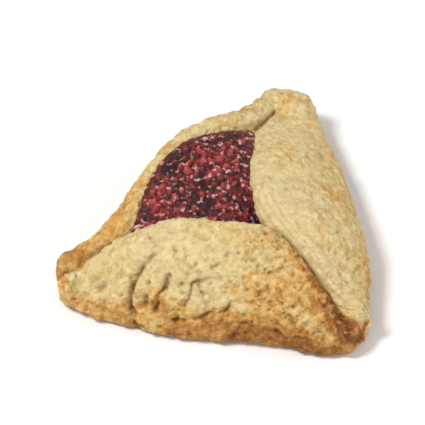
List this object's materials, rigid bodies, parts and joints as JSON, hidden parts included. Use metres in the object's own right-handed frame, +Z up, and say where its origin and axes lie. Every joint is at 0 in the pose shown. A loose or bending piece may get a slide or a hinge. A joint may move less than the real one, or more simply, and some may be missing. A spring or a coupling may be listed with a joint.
{
  "type": "hamantaschen",
  "caption": "Three-cornered folded biscuit with overlapping dough flaps, pinched corners and an open middle filled with dark red jam.",
  "frame": {"origin": "middle of the bounding box at the flat underside", "axes": "+Z up out of the open, jam-filled top; -Y towards the fold that faces the viewer"},
  "size_m": [0.0678, 0.0704, 0.0219],
  "materials": {
    "dough": "pale baked shortcrust dough, dry and matt, browned at its edges and corners",
    "jam": "dark red jam, wet and glossy, with small seeds"
  },
  "bodies": {
    "root": {"pastry": "dough", "filling": "jam"}
  },
  "joints": []
}
